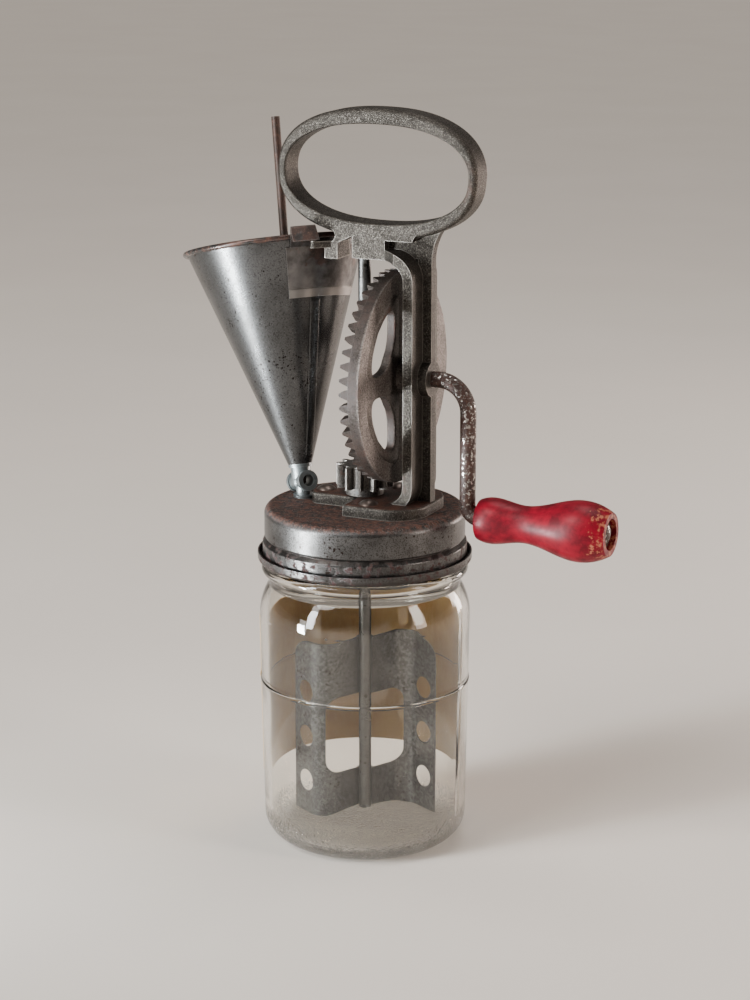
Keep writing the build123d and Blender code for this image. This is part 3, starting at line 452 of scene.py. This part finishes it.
# Crank: a bent steel rod, its bright plating flaked away over brown rust. The small pins and washers match it.
rod_steel, tree, shader, place = new_material("rod_steel")
flakes = use(tree, rust, {"Place": place, "Scale": 330.0, "Cover": 0.76})
plating = blend(tree, noise(tree, place, 260.0), (0.22, 0.205, 0.19, 1.0), (0.5, 0.47, 0.44, 1.0))
sparks = ramp(tree, noise(tree, place, 760.0, detail=3.0, roughness=0.6), 0.54, 0.6, 0.0, 0.95)
bare = maths(tree, "SUBTRACT", flakes["Mask"], maths(tree, "MULTIPLY", flakes["Mask"], sparks))
rod_rust = blend(tree, 0.6, flakes["Colour"], (0.026, 0.009, 0.006, 1.0))
feed(tree, shader, {"Base Color": blend(tree, bare, plating, rod_rust),
                    "Metallic": ramp(tree, bare, 0.0, 1.0, 0.95, 0.15),
                    "Roughness": ramp(tree, bare, 0.0, 1.0, 0.24, 0.58)})
wear(tree, shader, [(bare, -0.5, 0.0003), (noise(tree, place, 700.0), 0.35, 0.0003)])
for node in ("crank_rod", "wheel_pin", "axle_washer", "grip_washer"):
    dress(nodes[node], rod_steel)

# Grip: turned wood under old red paint, mottled darker, worn pale near its end, free to turn on the crank's pin.
worn_zone = (0.1, 0.1135)
red_paint, tree, shader, place = new_material("red_paint")
mottle = noise(tree, place, 130.0, detail=6.0, roughness=0.65)
paint = blend(tree, ramp(tree, mottle, 0.35, 0.65), (0.085, 0.001, 0.006, 1.0), (0.21, 0.003, 0.014, 1.0))
scuff = noise(tree, place, 420.0, detail=5.0, roughness=0.7)
end_wear = ramp(tree, coordinate(tree, place, "X"), *worn_zone, 0.0, 0.24)
bare = ramp(tree, maths(tree, "ADD", scuff, end_wear), 0.74, 0.82)
paint = blend(tree, bare, paint, (0.36, 0.11, 0.06, 1.0))
grime = ramp(tree, noise(tree, place, 60.0, detail=5.0), 0.58, 0.75, 0.0, 0.5)
paint = blend(tree, grime, paint, (0.07, 0.003, 0.005, 1.0))
feed(tree, shader, {"Base Color": paint, "Specular IOR Level": 0.2,
                    "Roughness": ramp(tree, mottle, 0.3, 0.7, 0.48, 0.34)})
stretched = put(tree, "ShaderNodeMapping", {"Vector": place, "Scale": (0.12, 1.0, 1.0)}).outputs["Vector"]
wood_lines = noise(tree, stretched, 700.0, detail=3.0)
wear(tree, shader, [(wood_lines, 0.12, 0.0004), (scuff, 0.12, 0.0003)])
dress(nodes["handle_grip"], red_paint)

# Dasher: a tarnished steel shaft, and a blade of one bent tin sheet, grey and mottled, with painted shade beside the
# shaft.
shaft_steel, tree, shader, place = new_material("shaft_steel")
steel = blend(tree, noise(tree, place, 200.0, detail=5.0), (0.05, 0.05, 0.05, 1.0), (0.16, 0.16, 0.16, 1.0))
spots = use(tree, pits, {"Place": place, "Scale": 640.0, "Size": 1.2})["Mask"]
feed(tree, shader, {"Base Color": blend(tree, spots, steel, (0.03, 0.026, 0.024, 1.0)), "Metallic": 0.92,
                    "Roughness": ramp(tree, noise(tree, place, 120.0), 0.3, 0.7, 0.26, 0.45)})
wear(tree, shader, [(spots, -0.3, 0.0002), (noise(tree, place, 800.0), 0.2, 0.0002)])
dress(nodes["dasher_shaft"], shaft_steel)
dress(nodes["pinion_pin"], shaft_steel)

shaft_shade_zone = (0.012, 0.002)
dasher_tin, tree, shader, place = new_material("dasher_tin")
cloud = noise(tree, place, 75.0, detail=7.0, roughness=0.66)
sheet = blend(tree, ramp(tree, cloud, 0.35, 0.65), (0.045, 0.046, 0.048, 1.0), (0.095, 0.098, 0.102, 1.0))
frost = ramp(tree, noise(tree, place, 650.0, detail=5.0, roughness=0.72), 0.46, 0.6, 0.0, 0.75)
sheet = blend(tree, frost, sheet, (0.17, 0.176, 0.182, 1.0))
# Painted shade: the blade darkens towards the shaft on both sides.
shade_beside_shaft = put(tree, "ShaderNodeMath", {0: coordinate(tree, place, "X")}, operation="ABSOLUTE").outputs["Value"]
sheet = blend(tree, ramp(tree, shade_beside_shaft, *shaft_shade_zone, 0.0, 0.75), sheet, (0.03, 0.029, 0.029, 1.0))
spots = use(tree, pits, {"Place": place, "Scale": 800.0, "Size": 1.25})["Mask"]
feed(tree, shader, {"Base Color": blend(tree, spots, sheet, (0.035, 0.033, 0.033, 1.0)), "Metallic": 0.9,
                    "Roughness": ramp(tree, cloud, 0.3, 0.7, 0.34, 0.27)})
wear(tree, shader, [(cloud, 0.06, 0.001), (noise(tree, place, 900.0), 0.1, 0.0002)])
dress(nodes["dasher_blade"], dasher_tin)

# Oil funnel: a rolled cone of tinplate, finely pitted, its rim turned over a wire and browned with rust. The clip is a
# soldered plate of the same tin, dark with rust over its middle, its lower edge hemmed and bright.
funnel_tip = np.array([-0.0329182, 0.0023631, 0.1671123])
funnel_up = np.array([-0.1985186, 0.1607572, 0.9668234])
funnel_out = np.array([0.7513629, -0.6084417, 0.2554458])
funnel_across = np.cross(funnel_up, funnel_out)
funnel_len = 0.0969876


def cone_height(tree, place):
    """How far a place lies above the funnel's tip, along the cone's axis."""
    from_tip = put(tree, "ShaderNodeVectorMath", {0: place, 1: tuple(funnel_tip)}, operation="SUBTRACT")
    along_axis = {0: from_tip.outputs["Vector"], 1: tuple(funnel_up)}
    return put(tree, "ShaderNodeVectorMath", along_axis, operation="DOT_PRODUCT").outputs["Value"]


rim_zone = (funnel_len - 0.0022, funnel_len - 0.0006)
funnel_tin, tree, shader, place = new_material("funnel_tin")
cloud = noise(tree, place, 45.0, detail=6.0, roughness=0.6)
sheet = blend(tree, ramp(tree, cloud, 0.32, 0.68), (0.062, 0.061, 0.06, 1.0), (0.105, 0.106, 0.108, 1.0))
speckle = ramp(tree, noise(tree, place, 1500.0, detail=3.0, roughness=0.6), 0.5, 0.66, 0.0, 0.62)
sheet = blend(tree, speckle, sheet, (0.02, 0.018, 0.017, 1.0))
frost = ramp(tree, noise(tree, place, 2200.0, detail=2.0), 0.6, 0.74, 0.0, 0.5)
sheet = blend(tree, frost, sheet, (0.2, 0.205, 0.21, 1.0))
spots = use(tree, pits, {"Place": place, "Scale": 1250.0, "Size": 1.1})["Mask"]
sheet = blend(tree, spots, sheet, (0.014, 0.011, 0.01, 1.0))
rim_cover = ramp(tree, cone_height(tree, place), *rim_zone, 0.26, 0.62)
rim_rust = use(tree, rust, {"Place": place, "Scale": 150.0, "Cover": rim_cover})
rim_mask = maths(tree, "MULTIPLY", rim_rust["Mask"], 0.85)
feed(tree, shader, {"Base Color": blend(tree, rim_mask, sheet, rim_rust["Colour"]),
                    "Metallic": ramp(tree, rim_mask, 0.0, 1.0, 0.93, 0.25),
                    "Roughness": ramp(tree, cloud, 0.3, 0.7, 0.31, 0.24)})
wear(tree, shader, [(cloud, 0.12, 0.001), (spots, -0.5, 0.0003), (speckle, -0.2, 0.0002)])
for node in ("funnel_cone", "rim_wire"):
    dress(nodes[node], funnel_tin)

hem_zone = (funnel_len - 0.0215, funnel_len - 0.0222)
hook_zone = (funnel_len - 0.018, funnel_len - 0.006)
clip_tin, tree, shader, place = new_material("clip_tin")
height = cone_height(tree, place)
cloud = noise(tree, place, 60.0, detail=7.0, roughness=0.62)
sheet = blend(tree, ramp(tree, cloud, 0.36, 0.64), (0.055, 0.05, 0.048, 1.0), (0.2, 0.19, 0.186, 1.0))
hem_bright = maths(tree, "MULTIPLY", ramp(tree, height, *hem_zone), 0.7)
sheet = blend(tree, hem_bright, sheet, (0.34, 0.318, 0.3, 1.0))
hook_cover = ramp(tree, height, *hook_zone, 0.3, 0.56)
clip_rust = use(tree, rust, {"Place": place, "Scale": 70.0, "Cover": hook_cover})
clip_mask = maths(tree, "MULTIPLY", clip_rust["Mask"], maths(tree, "SUBTRACT", 0.75, hem_bright))
sheet = blend(tree, clip_mask, sheet, clip_rust["Colour"])
rubbed = use(tree, edges, {"Radius": 0.0005})["Mask"]
sheet = blend(tree, maths(tree, "MULTIPLY", rubbed, 0.45), sheet, (0.4, 0.38, 0.36, 1.0))
feed(tree, shader, {"Base Color": sheet, "Metallic": ramp(tree, clip_mask, 0.0, 1.0, 0.92, 0.3),
                    "Roughness": ramp(tree, cloud, 0.3, 0.7, 0.45, 0.3)})
wear(tree, shader, [(cloud, 0.2, 0.0008), (clip_mask, -0.25, 0.0002)])
dress(nodes["funnel_clip"], clip_tin)


# The cone's lap seam: one edge of the sheet laid over the other and soldered, from under the clip to the tip.
def lap_seam(low, high, start_angle, width, raised):
    """A narrow band on the cone. Along the cone the height runs evenly and the band keeps its width; across it the
    sheet lies a little proud, and both edges slope down into the cone."""
    tip_radius, flare = 0.005318, 0.0341
    sunk, run_out, steep = 0.00012, 0.0008, 9
    rise = np.linspace(low, high, 81)[:, None]
    across = np.linspace(1.0, 0.0, 17)[None, :]
    wall = tip_radius + flare * rise / funnel_len
    angle = np.radians(start_angle) + across * width / wall
    proud = raised * np.clip(np.minimum(across, 1 - across) * steep, 0.0, 1.0) - sunk
    ends = np.clip(np.minimum(rise - low, high - rise) / run_out, 0.0, 1.0)
    out = wall + proud * ends - sunk * (1 - ends)
    spread = np.cos(angle)[..., None] * funnel_out + np.sin(angle)[..., None] * funnel_across
    return funnel_tip + (rise + 0 * across)[..., None] * funnel_up + out[..., None] * spread


seam_points = lap_seam(low=0.002, high=0.0709, start_angle=1.0, width=0.0048, raised=0.00036)
funnel_seam = surface("funnel_seam", seam_points)
dress(funnel_seam, funnel_tin)
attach(funnel_seam, "funnel")

# Drip valve: a small casting in dull white metal.
valve_metal, tree, shader, place = new_material("valve_metal")
dull = blend(tree, noise(tree, place, 260.0, detail=5.0), (0.13, 0.145, 0.15, 1.0), (0.29, 0.315, 0.32, 1.0))
rubbed = use(tree, edges, {"Radius": 0.0005})["Mask"]
dull = blend(tree, maths(tree, "MULTIPLY", rubbed, 0.5), dull, (0.5, 0.53, 0.54, 1.0))
feed(tree, shader, {"Base Color": dull, "Metallic": 0.85, "Roughness": 0.42})
wear(tree, shader, [(noise(tree, place, 400.0), 0.2, 0.0005)])
dress(nodes["drip_valve"], valve_metal)

# Needle: a plain steel rod gone brown.
needle_steel, tree, shader, place = new_material("needle_steel")
brown = use(tree, rust, {"Place": place, "Scale": 220.0, "Cover": 0.62})
brown_thin = maths(tree, "MULTIPLY", brown["Mask"], 0.5)
bare_steel = blend(tree, noise(tree, place, 200.0), (0.02, 0.012, 0.009, 1.0), (0.042, 0.026, 0.019, 1.0))
feed(tree, shader, {"Base Color": blend(tree, brown_thin, bare_steel, brown["Colour"]), "Metallic": 0.4,
                    "Roughness": 0.5})
wear(tree, shader, [(noise(tree, place, 700.0), 0.25, 0.0003)])
dress(nodes["needle_rod"], needle_steel)
